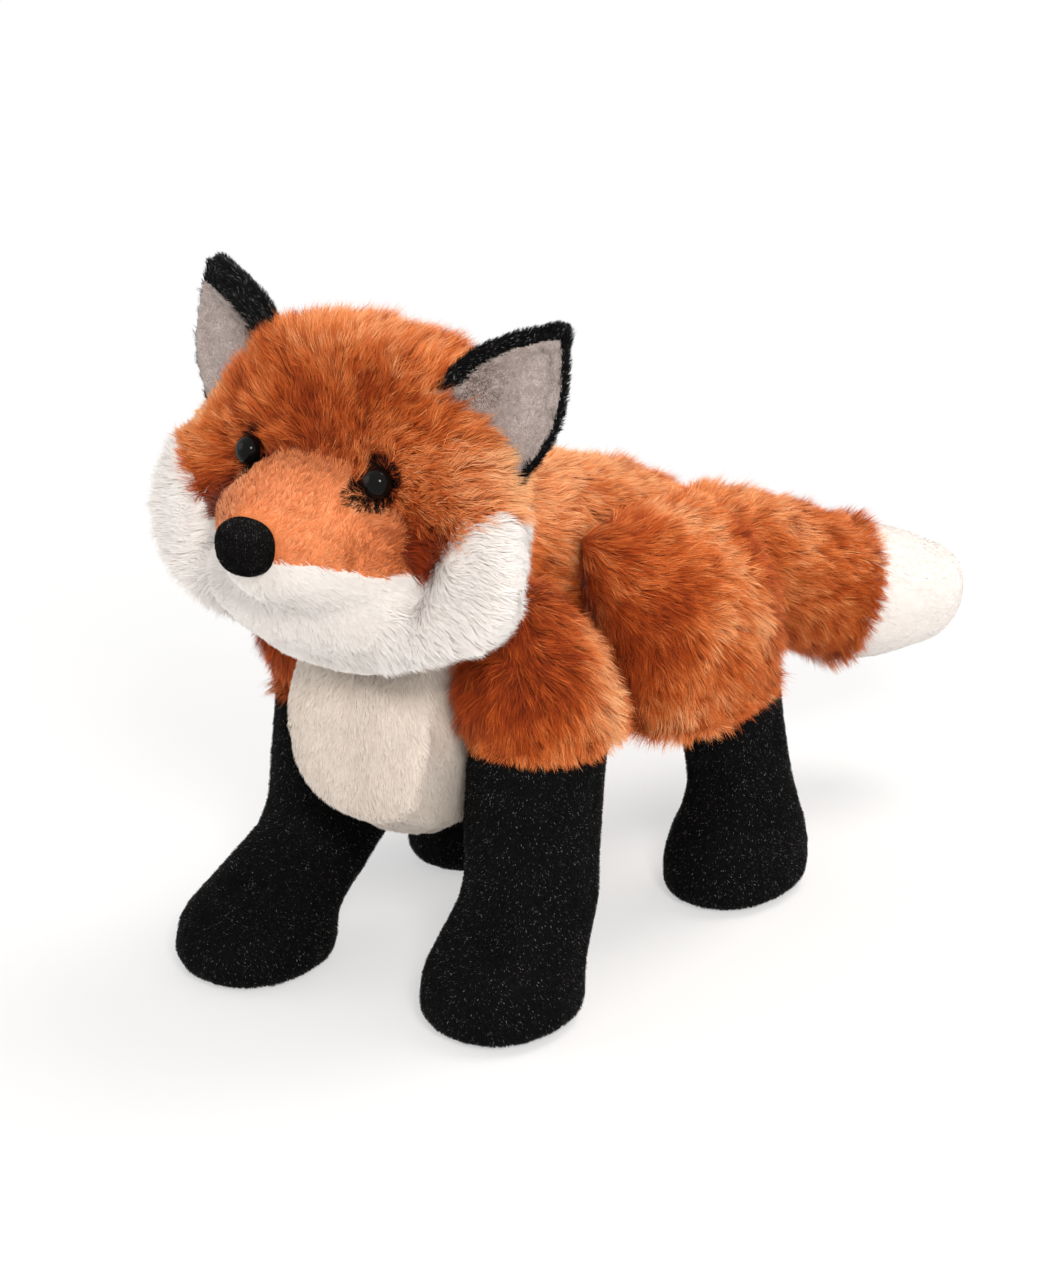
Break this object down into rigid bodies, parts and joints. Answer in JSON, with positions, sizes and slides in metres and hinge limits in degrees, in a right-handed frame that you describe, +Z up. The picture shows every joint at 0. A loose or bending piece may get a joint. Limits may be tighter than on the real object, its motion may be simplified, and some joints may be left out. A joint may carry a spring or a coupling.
{
  "type": "stuffed toy fox",
  "caption": "Stuffed standing fox: rust plush over fibre filling, white cheeks and tail tip, grey bib, black velvet boots, lined ears, glossy eyes and a flocked nose.",
  "frame": {"origin": "on the ground under the middle of the fox", "axes": "+Z up, -Y the way the fox faces, +X to its left"},
  "size_m": [0.1538, 0.3486, 0.2443],
  "materials": {
    "rust_plush": "long burnt-orange plush pile, dark at the roots and paler at the tips",
    "short_rust_plush": "short light-orange plush pile",
    "white_long_plush": "long soft white plush pile",
    "white_short_plush": "short smooth white plush pile",
    "white_tip_plush": "smooth brushed white plush pile",
    "bib_plush": "short grey-cream plush pile",
    "velvet_black": "short black velvet pile with a fine sparkle",
    "patch_fur": "short black fur",
    "ear_plush": "short black plush pile",
    "ear_velour": "flat grey-lilac velour",
    "fibre_filling": "loose white polyester fibre, inside and out of sight",
    "eye_gloss": "polished black, glossy",
    "nose_flock": "flocked matt black",
    "washer_plastic": "plain moulded, inside and out of sight"
  },
  "bodies": {
    "torso": {"belly_panel": "bib_plush", "back_panel_left": "rust_plush", "back_panel_right": "rust_plush", "torso_stuffing": "fibre_filling"},
    "head": {"eye_left": "eye_gloss", "eye_left_washer": "washer_plastic", "eye_right": "eye_gloss", "eye_right_washer": "washer_plastic", "nose": "nose_flock", "nose_washer": "washer_plastic", "crown_panel": "rust_plush", "muzzle_top": "short_rust_plush", "chin_panel": "white_short_plush", "cheek_panel_left": "white_long_plush", "eye_patch_left": "patch_fur", "ear_back_left": "ear_plush", "ear_liner_left": "ear_velour", "cheek_panel_right": "white_long_plush", "eye_patch_right": "patch_fur", "ear_back_right": "ear_plush", "ear_liner_right": "ear_velour", "head_stuffing": "fibre_filling"},
    "front_left_leg": {"front_left_sleeve": "rust_plush", "front_left_boot": "velvet_black", "front_left_stuffing": "fibre_filling"},
    "front_right_leg": {"front_right_sleeve": "rust_plush", "front_right_boot": "velvet_black", "front_right_stuffing": "fibre_filling"},
    "hind_left_leg": {"hind_left_sleeve": "rust_plush", "hind_left_boot": "velvet_black", "hind_left_stuffing": "fibre_filling"},
    "hind_right_leg": {"hind_right_sleeve": "rust_plush", "hind_right_boot": "velvet_black", "hind_right_stuffing": "fibre_filling"},
    "tail": {"tail_sleeve": "rust_plush", "tail_tip": "white_tip_plush", "tail_stuffing": "fibre_filling"}
  },
  "joints": [
    {"name": "neck_turn", "type": "hinge", "parent": "torso", "child": "head", "pos_m": [-0.00042, -0.08957, 0.15], "axis": [0, -0.7071, 0.7071], "range_deg": [-20, 20], "stiffness_Nm_per_rad": 0.5},
    {"name": "front_left_swing", "type": "hinge", "parent": "torso", "child": "front_left_leg", "pos_m": [-0.00042, -0.08357, 0.118], "axis": [1, 0, 0], "range_deg": [-25, 10], "stiffness_Nm_per_rad": 0.9},
    {"name": "front_right_swing", "type": "hinge", "parent": "torso", "child": "front_right_leg", "pos_m": [-0.00042, -0.08357, 0.118], "axis": [1, 0, 0], "range_deg": [-25, 10], "stiffness_Nm_per_rad": 0.9},
    {"name": "hind_left_swing", "type": "hinge", "parent": "torso", "child": "hind_left_leg", "pos_m": [-0.00042, 0.00043, 0.118], "axis": [1, 0, 0], "range_deg": [-10, 15], "stiffness_Nm_per_rad": 0.9},
    {"name": "hind_right_swing", "type": "hinge", "parent": "torso", "child": "hind_right_leg", "pos_m": [-0.00042, 0.00043, 0.118], "axis": [1, 0, 0], "range_deg": [-10, 15], "stiffness_Nm_per_rad": 0.9},
    {"name": "tail_lift", "type": "hinge", "parent": "torso", "child": "tail", "pos_m": [-0.00042, 0.07241, 0.113], "axis": [1, 0, 0], "range_deg": [-12, 30], "stiffness_Nm_per_rad": 0.9}
  ]
}
